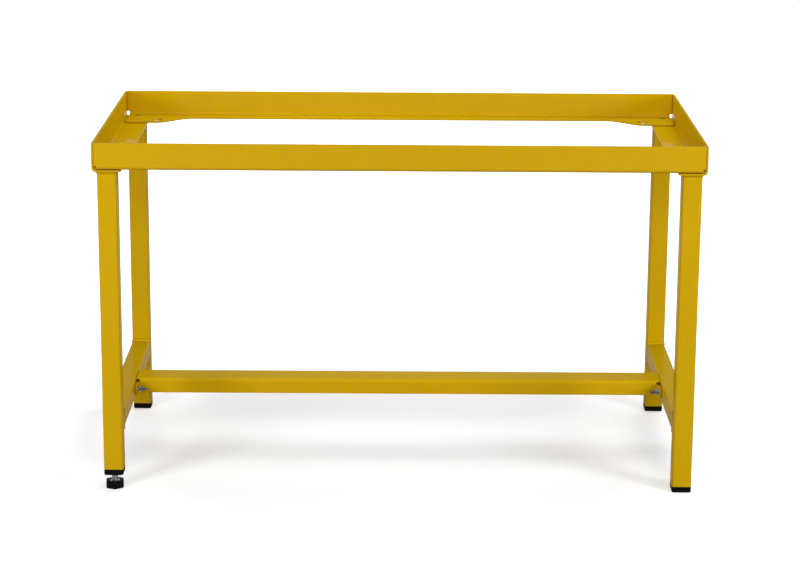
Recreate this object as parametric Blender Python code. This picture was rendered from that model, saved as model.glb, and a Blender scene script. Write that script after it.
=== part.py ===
"""Knock-down steel stand: two welded end frames, tied by two top rails and a low stretcher.

Metres, +Z up. The front faces -Y, and the origin is on the floor under the middle of the stand.
"""

import math

import bmesh
import bpy
from mathutils import Matrix

MM = 0.001

# Overall size: outer faces of the rim, and floor to rim
LENGTH = 930 * MM
DEPTH = 473 * MM
HEIGHT = 551 * MM

# Gap left between faces that touch on the real stand
FIT = 0.3 * MM

# Bent sheet steel of the rails and the stretcher
SHEET = 3 * MM
BEND_INSIDE = 3 * MM
BEND_STEPS = 5

# Long top rails
RAIL_HEIGHT = 41.5 * MM
RAIL_FLANGE = 37 * MM
TAB_DEPTH = 77 * MM
TAB_LENGTH = 57 * MM
TAB_BLEND = 61 * MM
TAB_CORNER = 4 * MM
BLEND_STEPS = 12
TAB_END_GAP = 2 * MM
RELIEF_LENGTH = 4 * MM
RELIEF_RISE = 1 * MM
CHEST_HOLE = 17.5 * MM
CHEST_HOLE_INTO_BLEND = 1.5 * MM
CHEST_HOLE_FROM_EDGE = 19.5 * MM

# End rails
END_FLANGE = 44 * MM
END_SETBACK = 1.5 * MM
END_TOP_CORNER = 5 * MM
END_FLANGE_CORNER = 3 * MM

# Square tube of the legs and cross tubes, and the weld fillets at its ends
TUBE = 30 * MM
TUBE_WALL = 1.5 * MM
TUBE_CORNER_INSIDE = 1.5 * MM
LEG_INSET = 7 * MM
CROSS_TOP = 122 * MM
WELD = 3.5 * MM

# Stretcher
STRETCHER_WIDTH = 53 * MM
STRETCHER_HEIGHT = 24.5 * MM
EAR_MARGIN = 2.5 * MM
EAR_CORNER = 7 * MM
NOTCH_STEPS = 2
NOTCH_DROP = 1 * MM

# M5 bolts, nuts, washers and corner screws
BOLT = 5 * MM
HEX = 8 * MM
HEX_CORNER = 0.3 * MM
BOLT_HEAD = 3.5 * MM
NUT = 4.7 * MM
WASHER = 10 * MM
WASHER_THICK = 1.6 * MM
BOLT_PAST_NUT = 8 * MM
SCREW_LENGTH = 16 * MM
SCREW_OFF_CENTRE = 4 * MM
SOCKET = 3 * MM
SOCKET_DEEP = 2 * MM

# Plastic leg caps
CAP_HEAD = 9 * MM
CAP_EDGE = 2 * MM
CAP_PLUG = 18 * MM
CAP_WALL = 2 * MM
CAP_FLOOR = 5 * MM
FINS = 2
FIN_REACH = 1 * MM
FIN_THICK = 1.5 * MM

# Levelling foot under the front-left leg, which is shorter by the foot's height
STUD = 10 * MM
STUD_SHOWN = 11.2 * MM
STUD_HEAD = 6.4 * MM
STUD_HEX = 17 * MM
STUD_TIP = 0.8 * MM
STUD_SPARE = 12 * MM
INSERT_WALL = 2 * MM
INSERT_LENGTH = 16 * MM
INSERT_SEAT = 4 * MM
PAD_FLOOR = 2.8 * MM
PAD_WALL = 4.7 * MM
PAD_CORNER = 2 * MM
PAD_EDGE = 0.8 * MM
PAD_LIP = 0.4 * MM
PAD_TURN = math.radians(6)
FOOT_WASHER_INSET = 0.8 * MM

# Points round a lofted section, how far a cutter runs past a face, and the least angle of a crisp edge
RING = 24
SMALL_RING = 12
CUT_PAST = 1 * MM
CRISP_EDGE = math.radians(32)

# Linear colours of the finishes
YELLOW = (0.59, 0.366, 0.004)
BLACK = (0.008, 0.008, 0.008)
ZINC = (0.55, 0.6, 0.64)

# Places worked out from the sizes above
BEND_OUTSIDE = BEND_INSIDE + SHEET
HALF_LENGTH = LENGTH / 2
HALF_DEPTH = DEPTH / 2
RAIL_BOTTOM = HEIGHT - RAIL_HEIGHT
END_BOTTOM = RAIL_BOTTOM - FIT - SHEET
CHEST_HOLE_X = HALF_LENGTH - TAB_LENGTH - CHEST_HOLE_INTO_BLEND
CHEST_HOLE_FROM_FACE = TAB_DEPTH - CHEST_HOLE_FROM_EDGE
LEG_TOP = END_BOTTOM - FIT
LEG_IN = LEG_INSET + TUBE / 2
LEG_X = HALF_LENGTH - LEG_IN
LEG_Y = HALF_DEPTH - LEG_IN
SCREW_FROM_FACE = LEG_IN - SCREW_OFF_CENTRE
TUBE_BORE = TUBE - 2 * TUBE_WALL
TUBE_CORNER = TUBE_CORNER_INSIDE + TUBE_WALL
BOLT_HOLE = BOLT + 2 * FIT
STRETCHER_BOTTOM = CROSS_TOP - STRETCHER_HEIGHT
WALL_HEIGHT = STRETCHER_HEIGHT - BEND_OUTSIDE
EAR_HEIGHT = WALL_HEIGHT - NOTCH_DROP
EAR_REACH = BEND_INSIDE + WASHER + 2 * EAR_MARGIN
BOLT_Y = STRETCHER_WIDTH / 2 + (BEND_INSIDE + EAR_REACH) / 2
BOLT_UP = WALL_HEIGHT / 2
HEAD_AT = -2 * FIT - WASHER_THICK
EAR_FACE = TUBE + FIT + SHEET
NUT_AT = EAR_FACE + 2 * FIT + WASHER_THICK
BOLT_SHANK = NUT_AT + NUT + BOLT_PAST_NUT - HEAD_AT
HEAD_LEVEL = PAD_FLOOR + FIT
WASHER_LEVEL = HEAD_LEVEL + STUD_HEAD + FIT
PAD_HEIGHT = WASHER_LEVEL + WASHER_THICK + PAD_LIP
FOOT_WASHER = STUD_HEX - 2 * FOOT_WASHER_INSET
PAD_HEX = STUD_HEX + 2 * (FIT + PAD_WALL)
FOOT_RISE = PAD_HEIGHT + STUD_SHOWN
INSERT = STUD + 2 * INSERT_WALL
INSERT_LEVEL = FOOT_RISE + INSERT_SEAT + FIT
STUD_TOP = INSERT_LEVEL + INSERT_LENGTH + STUD_SPARE


def clear_scene():
    """Empties the scene of objects."""
    for obj in list(bpy.data.objects):
        bpy.data.objects.remove(obj, do_unlink=True)


def material(name, colour, roughness, metallic):
    """A Principled material of one finish."""
    made = bpy.data.materials.new(name)
    made.use_nodes = True
    shader = made.node_tree.nodes["Principled BSDF"]
    shader.inputs["Base Color"].default_value = (*colour, 1)
    shader.inputs["Roughness"].default_value = roughness
    shader.inputs["Metallic"].default_value = metallic
    made.diffuse_color = (*colour, 1)
    return made


def empty(name, location=(0, 0, 0), parent=None):
    """An empty that carries other objects."""
    obj = bpy.data.objects.new(name, None)
    bpy.context.scene.collection.objects.link(obj)
    obj.location = location
    obj.parent = parent
    return obj


def place(name, mesh, finish, parent, location=(0, 0, 0), rotation=(0, 0, 0)):
    """An object of this mesh, with its finish, under its parent."""
    obj = bpy.data.objects.new(name, mesh)
    bpy.context.scene.collection.objects.link(obj)
    if not mesh.materials:
        mesh.materials.append(finish)
    obj.location = location
    obj.rotation_euler = rotation
    obj.parent = parent
    return obj


def cut(obj, mesh):
    """Cuts this mesh, in the object's own frame, out of the object."""
    cutter = bpy.data.objects.new(obj.name + "_cutter", mesh)
    bpy.context.scene.collection.objects.link(cutter)
    cutter.parent = obj
    cutter.hide_render = True
    cutter.display_type = "WIRE"
    modifier = obj.modifiers.new("holes", "BOOLEAN")
    modifier.operation = "DIFFERENCE"
    modifier.solver = "EXACT"
    modifier.object = cutter


def cut_upright(obj, mesh, location, stand):
    """Cuts a mesh that stands upright at a place out of an object that is turned."""
    cut(obj, mesh)
    cutter = obj.modifiers["holes"].object
    cutter.parent = stand
    cutter.location = location


def thicken(obj):
    """Gives a sheet's middle surface its thickness, half to each side."""
    modifier = obj.modifiers.new("sheet", "SOLIDIFY")
    modifier.thickness = SHEET
    modifier.offset = 0
    modifier.use_even_offset = True


def finish_mesh(name, bm):
    """The mesh of this bmesh, facing out and smooth on its rounds."""
    bmesh.ops.recalc_face_normals(bm, faces=bm.faces)
    mesh = bpy.data.meshes.new(name)
    bm.to_mesh(mesh)
    bm.free()
    mesh.shade_smooth()
    mesh.set_sharp_from_angle(angle=CRISP_EDGE)
    return mesh


def arc(x, y, radius, start, end, steps):
    """Points on an arc about (x, y), between two angles in degrees."""
    points = []
    for step in range(steps + 1):
        angle = math.radians(start + (end - start) * step / steps)
        points.append((x + radius * math.cos(angle), y + radius * math.sin(angle)))
    return points


def circle(diameter, count=RING):
    """A round section."""
    first = 180 / count
    return arc(0, 0, diameter / 2, first, first + 360 - 360 / count, count - 1)


def rectangle(width, height, corner):
    """A rectangular section with rounded corners."""
    points = []
    for side_x, side_y, start in ((1, 1, 0), (-1, 1, 90), (-1, -1, 180), (1, -1, 270)):
        x = side_x * (width / 2 - corner)
        y = side_y * (height / 2 - corner)
        points += arc(x, y, corner, start, start + 90, RING // 4 - 1)
    return points


def hexagon(across, corner, count=RING):
    """A hexagonal section with rounded corners, one of them towards +Y."""
    reach = (across / 2 - corner) / math.cos(math.radians(30))
    points = []
    for middle in range(30, 390, 60):
        x = reach * math.cos(math.radians(middle))
        y = reach * math.sin(math.radians(middle))
        points += arc(x, y, corner, middle - 30, middle + 30, count // 6 - 1)
    return points


def add_loft(bm, levels, through, at=(0, 0)):
    """Skins sections, each (outline, height), into a closed body. A through body closes on its first section."""
    rings = []
    for outline, height in levels:
        rings.append([bm.verts.new((at[0] + x, at[1] + y, height)) for x, y in outline])
    pairs = list(zip(rings, rings[1:]))
    if through:
        pairs.append((rings[-1], rings[0]))
    else:
        bm.faces.new(rings[0])
        bm.faces.new(rings[-1])
    for low, high in pairs:
        for i in range(len(low)):
            bm.faces.new((low[i - 1], low[i], high[i], high[i - 1]))


def loft(name, levels, through=False):
    """The mesh of one lofted body."""
    bm = bmesh.new()
    add_loft(bm, levels, through)
    return finish_mesh(name, bm)


def ring(name, outer, inner, thickness):
    """A flat body with a hole, between two sections."""
    return loft(name, [(outer, 0), (outer, thickness), (inner, thickness), (inner, 0)], through=True)


def fillet(reach):
    """A weld's hollow face: (distance from the joint, height over the tube) from its foot to its root."""
    middle = reach * (1 - math.sqrt(0.5))
    return [(reach, 0), (middle, middle), (0, reach)]


def mirrored(half):
    """The outline made of a half at +x and its mirror image, in order round the shape."""
    return half + [(-x, y) for x, y in reversed(half)]


def angle_rail(name, wall_half, flange_half, bend_half):
    """The middle surface of a bent angle: a wall, a bend along x and a flange towards +y.

    The outlines give the right half, from the bend's end: the wall as (x, z), the flange as (x, y).
    The outer face of the wall is at y = 0 and the under face of the flange at z = 0.
    """
    bm = bmesh.new()
    middle = SHEET / 2
    bend = arc(BEND_OUTSIDE, BEND_OUTSIDE, BEND_INSIDE + middle, 180, 270, BEND_STEPS)
    rows = [[bm.verts.new((side * bend_half, y, z)) for side in (1, -1)] for y, z in bend]
    for low, high in zip(rows, rows[1:]):
        bm.faces.new((low[0], low[1], high[1], high[0]))
    wall = [bm.verts.new((x, middle, z)) for x, z in mirrored(wall_half)]
    bm.faces.new([rows[0][0], *wall, rows[0][1]])
    flange = [bm.verts.new((x, y, middle)) for x, y in mirrored(flange_half)]
    bm.faces.new([rows[-1][0], *flange, rows[-1][1]])
    return finish_mesh(name, bm)


def long_rail_mesh():
    """Front and rear rail: the flange is wide at its ends and narrows by an S-curve."""
    wall_end = HALF_LENGTH - SHEET - FIT
    tab_end = HALF_LENGTH - BEND_OUTSIDE - TAB_END_GAP
    bend_end = wall_end - RELIEF_LENGTH
    relief = BEND_OUTSIDE + RELIEF_RISE
    wall = [(bend_end, relief), (wall_end, relief), (wall_end, RAIL_HEIGHT)]
    flange = [(bend_end, relief), (tab_end, relief)]
    flange += arc(tab_end - TAB_CORNER, TAB_DEPTH - TAB_CORNER, TAB_CORNER, 0, 90, BEND_STEPS)
    for step in range(BLEND_STEPS + 1):
        along = step / BLEND_STEPS
        wide = (1 + math.cos(math.pi * along)) / 2
        x = HALF_LENGTH - TAB_LENGTH - TAB_BLEND * along
        flange.append((x, RAIL_FLANGE + (TAB_DEPTH - RAIL_FLANGE) * wide))
    return angle_rail("long_rail", wall, flange, bend_end)


def end_rail_mesh():
    """End rail: its wall runs a little past the bend and the flange at both ends."""
    bend_end = HALF_DEPTH - END_SETBACK
    height = HEIGHT - END_BOTTOM
    relief = BEND_OUTSIDE + RELIEF_RISE
    wall = [(bend_end, relief), (HALF_DEPTH, relief)]
    wall += arc(HALF_DEPTH - END_TOP_CORNER, height - END_TOP_CORNER, END_TOP_CORNER, 0, 90, BEND_STEPS)
    corner_x = bend_end - END_FLANGE_CORNER
    corner_y = END_FLANGE - END_FLANGE_CORNER
    flange = arc(corner_x, corner_y, END_FLANGE_CORNER, 0, 90, BEND_STEPS)
    return angle_rail("end_rail", wall, flange, bend_end)


def long_rail_holes():
    """Countersinks for the corner screws and plain holes for bolting the chest down."""
    bm = bmesh.new()
    screw = circle(BOLT_HOLE, SMALL_RING)
    head = circle(BOLT_HOLE + 2 * SHEET, SMALL_RING)
    past = circle(BOLT_HOLE + 2 * (SHEET + CUT_PAST), SMALL_RING)
    countersink = [(screw, -CUT_PAST), (screw, 0), (head, SHEET), (past, SHEET + CUT_PAST)]
    hole = circle(CHEST_HOLE)
    plain = [(hole, -CUT_PAST), (hole, SHEET + CUT_PAST)]
    for side in (-1, 1):
        add_loft(bm, countersink, False, at=(side * LEG_X, SCREW_FROM_FACE))
        add_loft(bm, plain, False, at=(side * CHEST_HOLE_X, CHEST_HOLE_FROM_FACE))
    return finish_mesh("long_rail_holes", bm)


def end_rail_holes():
    """Clearance holes for the corner screws."""
    bm = bmesh.new()
    hole = circle(BOLT_HOLE, SMALL_RING)
    for side in (-1, 1):
        levels = [(hole, -CUT_PAST), (hole, SHEET + CUT_PAST)]
        add_loft(bm, levels, False, at=(side * (HALF_DEPTH - SCREW_FROM_FACE), LEG_IN))
    return finish_mesh("end_rail_holes", bm)


def leg_mesh(name, bottom):
    """A square tube from bottom to LEG_TOP, flared at the top by its weld."""
    inner = rectangle(TUBE_BORE, TUBE_BORE, TUBE_CORNER - TUBE_WALL)
    levels = [(rectangle(TUBE, TUBE, TUBE_CORNER), bottom)]
    for away, over in fillet(WELD):
        size = TUBE + 2 * over
        levels.append((rectangle(size, size, TUBE_CORNER + over), LEG_TOP - away))
    levels += [(inner, LEG_TOP), (inner, bottom)]
    return loft(name, levels, through=True)


def cross_tube_mesh():
    """A square tube between two legs, with welds over and under its ends."""
    end = LEG_Y - TUBE / 2 - FIT
    welds = [(end - away, rectangle(TUBE, TUBE + 2 * over, TUBE_CORNER)) for away, over in fillet(WELD)]
    inner = rectangle(TUBE_BORE, TUBE_BORE, TUBE_CORNER - TUBE_WALL)
    levels = [(outline, -along) for along, outline in reversed(welds)]
    levels += [(outline, along) for along, outline in welds]
    levels += [(inner, end), (inner, -end)]
    return loft("cross_tube", levels, through=True)


def bolt_holes(name, half_length, bolt_z):
    """A cutter along the stretcher's two bolt lines, between -half_length and half_length in x."""
    bm = bmesh.new()
    section = circle(BOLT_HOLE, SMALL_RING)
    for side in (-1, 1):
        add_loft(bm, [(section, -half_length), (section, half_length)], False, at=(-bolt_z, side * BOLT_Y))
    bm.transform(Matrix.Rotation(math.pi / 2, 4, "Y"))
    return finish_mesh(name, bm)


def stretcher_mesh():
    """The middle surface of an inverted U whose walls end in ears bent outward.

    The bend along the top edge is cut away at its lower rows near each end, down to the ear's top, so that
    the ear can fold.
    """
    bm = bmesh.new()
    middle = SHEET / 2
    bend = BEND_INSIDE + middle
    half_width = STRETCHER_WIDTH / 2
    end = LEG_X - TUBE / 2 - FIT
    wall_end = end - BEND_OUTSIDE
    edge_rows = []
    for side in (-1, 1):
        rows = []
        turn = arc(half_width - BEND_OUTSIDE, WALL_HEIGHT, bend, 0, 90, BEND_STEPS)
        for step, (y, z) in enumerate(turn):
            stations = (-wall_end, wall_end)
            if step >= NOTCH_STEPS:
                stations = (-end, -wall_end, wall_end, end)
            rows.append({x: bm.verts.new((x, side * y, z)) for x in stations})
        for low, high in zip(rows, rows[1:]):
            stations = sorted(low)
            for a, b in zip(stations, stations[1:]):
                bm.faces.new((low[a], low[b], high[b], high[a]))
        wall = [rows[0][wall_end], rows[0][-wall_end]]
        for hand in (-1, 1):
            foot = bm.verts.new((hand * wall_end, side * (half_width - middle), 0))
            head = bm.verts.new((hand * wall_end, side * (half_width - middle), EAR_HEIGHT))
            add_ear(bm, foot, head, side, hand)
            wall += [head, foot] if hand < 0 else [foot, head]
        bm.faces.new(wall)
        edge_rows.append(rows[-1])
    front, rear = edge_rows
    stations = sorted(front)
    for a, b in zip(stations, stations[1:]):
        bm.faces.new((front[a], front[b], rear[b], rear[a]))
    return finish_mesh("stretcher", bm)


def add_ear(bm, foot, head, side, hand):
    """Bends an ear outward from the end of a wall, whose end edge runs from foot to head."""
    bend = BEND_INSIDE + SHEET / 2
    outer = STRETCHER_WIDTH / 2
    low, high = foot, head
    for y, x in arc(outer + BEND_INSIDE, 0, bend, 180, 90, BEND_STEPS)[1:]:
        place_x = foot.co.x + hand * x
        next_low = bm.verts.new((place_x, side * y, 0))
        next_high = bm.verts.new((place_x, side * y, EAR_HEIGHT))
        bm.faces.new((low, next_low, next_high, high))
        low, high = next_low, next_high
    corner_y = outer + EAR_REACH - EAR_CORNER
    corner = arc(corner_y, EAR_HEIGHT - EAR_CORNER, EAR_CORNER, 0, 90, BEND_STEPS)
    edge = [(outer + EAR_REACH, 0), *corner]
    bm.faces.new([low, *[bm.verts.new((low.co.x, side * y, z)) for y, z in edge], high])


def nut_mesh():
    """A hexagon nut."""
    return ring("nut", hexagon(HEX, HEX_CORNER, SMALL_RING), circle(BOLT_HOLE, SMALL_RING), NUT)


def washer_mesh():
    """A flat washer for the bolts."""
    return ring("washer", circle(WASHER, SMALL_RING), circle(BOLT_HOLE, SMALL_RING), WASHER_THICK)


def bolt_mesh():
    """A hexagon bolt: its head's under face is at z = 0 and its shank runs up."""
    head = hexagon(HEX, HEX_CORNER, SMALL_RING)
    shank = circle(BOLT, SMALL_RING)
    return loft("bolt", [(head, -BOLT_HEAD), (head, 0), (shank, 0), (shank, BOLT_SHANK)])


def screw_mesh():
    """A countersunk socket screw: its head's top is at z = 0 and its shank runs down."""
    socket = hexagon(SOCKET, HEX_CORNER, SMALL_RING)
    head = circle(BOLT + 2 * SHEET, SMALL_RING)
    shank = circle(BOLT, SMALL_RING)
    levels = [(socket, -SOCKET_DEEP), (socket, 0), (head, 0), (shank, -SHEET), (shank, -SCREW_LENGTH)]
    return loft("corner_screw", levels)


def cap_outside():
    """Sections of a leg cap's outside, from its foot to the top of its finned plug."""
    foot = TUBE - 2 * CAP_EDGE
    core = TUBE_BORE - 2 * (FIT + FIN_REACH)
    fin = TUBE_BORE - 2 * FIT
    eased = CAP_EDGE * (1 - math.sqrt(0.5))
    levels = [
        (rectangle(foot, foot, TUBE_CORNER), 0),
        (rectangle(TUBE - 2 * eased, TUBE - 2 * eased, TUBE_CORNER), eased),
        (rectangle(TUBE, TUBE, TUBE_CORNER), CAP_EDGE),
        (rectangle(TUBE, TUBE, TUBE_CORNER), CAP_HEAD),
    ]
    plug = [(core, CAP_HEAD)]
    for count in range(FINS):
        low = CAP_HEAD + CAP_PLUG * (count + 1) / (FINS + 1)
        high = low + FIN_THICK
        plug += [(core, low), (fin, low), (fin, high), (core, high)]
    plug.append((core, CAP_HEAD + CAP_PLUG))
    levels += [(rectangle(size, size, TUBE_CORNER_INSIDE), height) for size, height in plug]
    return levels, core


def leg_cap_mesh():
    """A plastic cap with a hollow plug."""
    levels, core = cap_outside()
    hollow = rectangle(core - 2 * CAP_WALL, core - 2 * CAP_WALL, TUBE_CORNER_INSIDE)
    return loft("leg_cap", levels + [(hollow, CAP_HEAD + CAP_PLUG), (hollow, CAP_FLOOR)])


def levelling_cap_mesh():
    """A plastic cap bored for the threaded insert and the stud."""
    levels, _ = cap_outside()
    pocket = circle(INSERT + 2 * FIT)
    hole = circle(STUD + 4 * FIT)
    levels += [(pocket, CAP_HEAD + CAP_PLUG), (pocket, INSERT_SEAT), (hole, INSERT_SEAT), (hole, 0)]
    return loft("levelling_cap", levels, through=True)


def insert_mesh():
    """The steel bush that the stud screws into."""
    return ring("threaded_insert", circle(INSERT), circle(STUD + 2 * FIT), INSERT_LENGTH)


def stud_mesh():
    """The levelling stud, with the hex head that the foot grips. Heights are above the floor."""
    head = hexagon(STUD_HEX, HEX_CORNER)
    shank = circle(STUD)
    tip = circle(STUD - 2 * STUD_TIP)
    top = HEAD_LEVEL + STUD_HEAD
    levels = [(head, HEAD_LEVEL), (head, top), (shank, top), (shank, STUD_TOP - STUD_TIP), (tip, STUD_TOP)]
    return loft("levelling_stud", levels)


def pad_mesh():
    """The hexagonal plastic foot, moulded round the stud's head, with an open recess for the washer."""
    narrow = hexagon(PAD_HEX - 2 * PAD_EDGE, PAD_CORNER)
    wide = hexagon(PAD_HEX, PAD_CORNER)
    recess = circle(FOOT_WASHER + 2 * FIT)
    pocket = hexagon(STUD_HEX + 2 * FIT, HEX_CORNER)
    levels = [(narrow, 0), (wide, PAD_EDGE), (wide, PAD_HEIGHT - PAD_EDGE), (narrow, PAD_HEIGHT)]
    levels += [(recess, PAD_HEIGHT), (recess, WASHER_LEVEL), (pocket, WASHER_LEVEL), (pocket, PAD_FLOOR)]
    return loft("foot_pad", levels)


def build_end_frames(stand, paint):
    """Two end frames: an end rail, two legs and a cross tube each, welded together."""
    end_rail = end_rail_mesh()
    rail_cut = end_rail_holes()
    cross_tube = cross_tube_mesh()
    leg = leg_mesh("leg", CAP_HEAD + FIT)
    short_leg = leg_mesh("short_leg", FOOT_RISE + CAP_HEAD + FIT)
    bolt_cut = bolt_holes("cross_tube_holes", TUBE / 2 + CUT_PAST, STRETCHER_BOTTOM + BOLT_UP)
    for end, side in (("left", -1), ("right", 1)):
        at = (side * HALF_LENGTH, 0, END_BOTTOM)
        rail = place(end + "_end_rail", end_rail, paint, stand, at, (0, 0, side * math.pi / 2))
        thicken(rail)
        cut(rail, rail_cut)
        tube = place(end + "_cross_tube", cross_tube, paint, stand, (side * LEG_X, 0, CROSS_TOP - TUBE / 2))
        tube.rotation_euler.x = math.pi / 2
        cut_upright(tube, bolt_cut, (side * LEG_X, 0, 0), stand)
        for face, depth in (("front", -1), ("rear", 1)):
            short = end == "left" and face == "front"
            at = (side * LEG_X, depth * LEG_Y, 0)
            place(f"{face}_{end}_leg", short_leg if short else leg, paint, stand, at)


def build_top_rails(stand, paint, zinc):
    """Front and rear rail, their corner screws and the nuts welded under the end rails."""
    rail_mesh = long_rail_mesh()
    rail_cut = long_rail_holes()
    screw = screw_mesh()
    nut = nut_mesh()
    for face, depth in (("front", -1), ("rear", 1)):
        turn = 0 if depth < 0 else math.pi
        at = (0, depth * HALF_DEPTH, RAIL_BOTTOM)
        rail = place(face + "_rail", rail_mesh, paint, stand, at, (0, 0, turn))
        thicken(rail)
        cut(rail, rail_cut)
        for end, side in (("left", -1), ("right", 1)):
            corner = f"{face}_{end}"
            x = side * LEG_X
            y = depth * (HALF_DEPTH - SCREW_FROM_FACE)
            place("corner_screw_" + corner, screw, zinc, stand, (x, y, RAIL_BOTTOM + SHEET - FIT))
            place("weld_nut_" + corner, nut, zinc, stand, (x, y, END_BOTTOM - FIT - NUT))


def build_stretcher(stand, paint, zinc):
    """The stretcher and, at each of its ears, a bolt with two washers and a nut."""
    stretcher = place("stretcher", stretcher_mesh(), paint, stand, (0, 0, STRETCHER_BOTTOM))
    thicken(stretcher)
    cut(stretcher, bolt_holes("stretcher_holes", HALF_LENGTH, BOLT_UP))
    bolt = bolt_mesh()
    nut = nut_mesh()
    washer = washer_mesh()
    stack = (
        ("stretcher_bolt", bolt, HEAD_AT),
        ("head_washer", washer, -FIT - WASHER_THICK),
        ("nut_washer", washer, EAR_FACE + FIT),
        ("stretcher_nut", nut, NUT_AT),
    )
    for end, side in (("left", -1), ("right", 1)):
        for face, depth in (("front", -1), ("rear", 1)):
            for name, mesh, inward in stack:
                x = side * (LEG_X + TUBE / 2 - inward)
                at = (x, depth * BOLT_Y, STRETCHER_BOTTOM + BOLT_UP)
                place(f"{name}_{face}_{end}", mesh, zinc, stand, at, (0, -side * math.pi / 2, 0))


def build_feet(stand, plastic, zinc):
    """Three plain caps, and the levelling foot with its cap under the short leg."""
    cap = leg_cap_mesh()
    for face, depth, end, side in (("front", -1, "right", 1), ("rear", 1, "left", -1), ("rear", 1, "right", 1)):
        place(f"leg_cap_{face}_{end}", cap, plastic, stand, (side * LEG_X, depth * LEG_Y, 0))
    at = (-LEG_X, -LEG_Y, FOOT_RISE)
    place("levelling_cap", levelling_cap_mesh(), plastic, stand, at)
    place("threaded_insert", insert_mesh(), zinc, stand, (-LEG_X, -LEG_Y, INSERT_LEVEL))
    axis = empty("foot_axis", (-LEG_X, -LEG_Y, 0), stand)
    washer = ring("foot_washer", circle(FOOT_WASHER), circle(STUD + 2 * FIT), WASHER_THICK)
    place("foot_washer", washer, zinc, axis, (0, 0, WASHER_LEVEL))
    for name, mesh, finish in (("levelling_stud", stud_mesh(), zinc), ("foot_pad", pad_mesh(), plastic)):
        place(name, mesh, finish, axis, rotation=(0, 0, PAD_TURN))


def main():
    """Builds the stand."""
    clear_scene()
    paint = material("yellow_powder_coat", YELLOW, roughness=0.35, metallic=0)
    plastic = material("black_plastic", BLACK, roughness=0.45, metallic=0)
    zinc = material("zinc_plate", ZINC, roughness=0.3, metallic=1)
    stand = empty("stand")
    build_end_frames(stand, paint)
    build_top_rails(stand, paint, zinc)
    build_stretcher(stand, paint, zinc)
    build_feet(stand, plastic, zinc)


main()
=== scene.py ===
"""Looks of the knock-down steel stand: bent powder-coated sheet, welded tube, zinc hardware and plastic feet.

Meshes are drawn in millimetres, in the same frame as the solids, and become metres when they are placed.
"""

import math

import bmesh
import bpy
from mathutils import Matrix, Vector


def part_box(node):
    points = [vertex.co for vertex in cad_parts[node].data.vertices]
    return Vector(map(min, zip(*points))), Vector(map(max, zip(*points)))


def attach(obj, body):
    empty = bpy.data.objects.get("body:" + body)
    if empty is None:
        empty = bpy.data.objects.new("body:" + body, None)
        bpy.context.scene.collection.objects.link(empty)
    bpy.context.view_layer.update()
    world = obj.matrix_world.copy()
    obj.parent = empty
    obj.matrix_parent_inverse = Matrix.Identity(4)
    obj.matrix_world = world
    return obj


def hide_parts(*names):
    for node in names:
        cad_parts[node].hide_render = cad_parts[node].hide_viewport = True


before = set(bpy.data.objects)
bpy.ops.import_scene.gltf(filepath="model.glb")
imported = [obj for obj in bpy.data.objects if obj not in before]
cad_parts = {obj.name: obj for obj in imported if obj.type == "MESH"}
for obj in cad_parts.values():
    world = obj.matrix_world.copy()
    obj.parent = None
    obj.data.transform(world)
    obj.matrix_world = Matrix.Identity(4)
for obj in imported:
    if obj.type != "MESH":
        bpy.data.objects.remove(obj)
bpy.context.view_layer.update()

MM = 0.001
QUARTER = math.pi / 2

# Powder coat: its mottling runs between two colours, and painted shade darkens its crevices down to a tint,
# up to this depth in metres
YELLOW_DULL = (0.578, 0.357, 0.0021)
YELLOW_BRIGHT = (0.594, 0.371, 0.0027)
PAINTED_SHADE_TINT = (0.5, 0.42, 0.3)
PAINTED_SHADE_DEPTH = 0.003
RIM_GLOSS = 0.22
FRAME_GLOSS = 0.13

# Zinc plate: the dull and the bright colour of the fasteners and of the foot
FASTENER_DULL = (0.125, 0.14, 0.135)
FASTENER_BRIGHT = (0.21, 0.23, 0.22)
FOOT_DULL = (0.2, 0.25, 0.28)
FOOT_BRIGHT = (0.32, 0.38, 0.42)

# Most of a noise texture's values lie between these two
NOISE_LOW = 0.3
NOISE_HIGH = 0.7

# Points round a turned piece, and the angles in degrees above which an edge stays sharp
ROUND = 48
CRISP_SHEET = 50
CRISP_FOOT = 40
CRISP_STAMPED = 35
CRISP_HEX = 28

# Bent sheet: thickness, inside radius of a bend, the radius that the coat leaves on a cut edge, the radius of
# a cut corner, the steps of each curve, and the distances within which points merge and a split snaps
SHEET = 3.0
BEND_INSIDE = 3.0
EDGE = 0.6
CUT_CORNER = 0.8
EDGE_STEPS = 2
BEND_STEPS = 8
HOLE_SIDES = 40
MERGE = 0.001
SPLIT = 0.0005
BEND_OUTSIDE = BEND_INSIDE + SHEET
BEND_MIDDLE = BEND_INSIDE + SHEET / 2
BEND_ARC = QUARTER * BEND_MIDDLE

# How far the long rails' walls run into the seams at the rim's corners: the coat fills the rear ones
REAR_SEAM = 0.28
FRONT_SEAM = -0.3

# Long top rails
HALF_LENGTH = 465.0
RAIL_FLANGE = 37.0
TAB_LENGTH = 57.0
TAB_BLEND = 61.0
TAB_CORNER = 4.0
BLEND_STEPS = 28
RELIEF_LENGTH = 4.0
RELIEF_RISE = 1.0
RELIEF_ROUND = 1.4
CHEST_HOLE = 17.5
CHEST_HOLE_SIDES = 64
CHEST_HOLE_X = 406.5
CHEST_HOLE_FROM_FACE = 57.5

# End rails
END_SETBACK = 1.5
END_TOP_CORNER = 5.0
END_FLANGE_CORNER = 3.0
END_RELIEF_CORNER = 0.6

# Square tube
TUBE = 30.0
TUBE_WALL = 1.5
TUBE_CORNER = 3.0
TUBE_LIP = 0.5
LEG_X = 443.0
LEG_Y = 214.5
CROSS_TOP = 122.0

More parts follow.
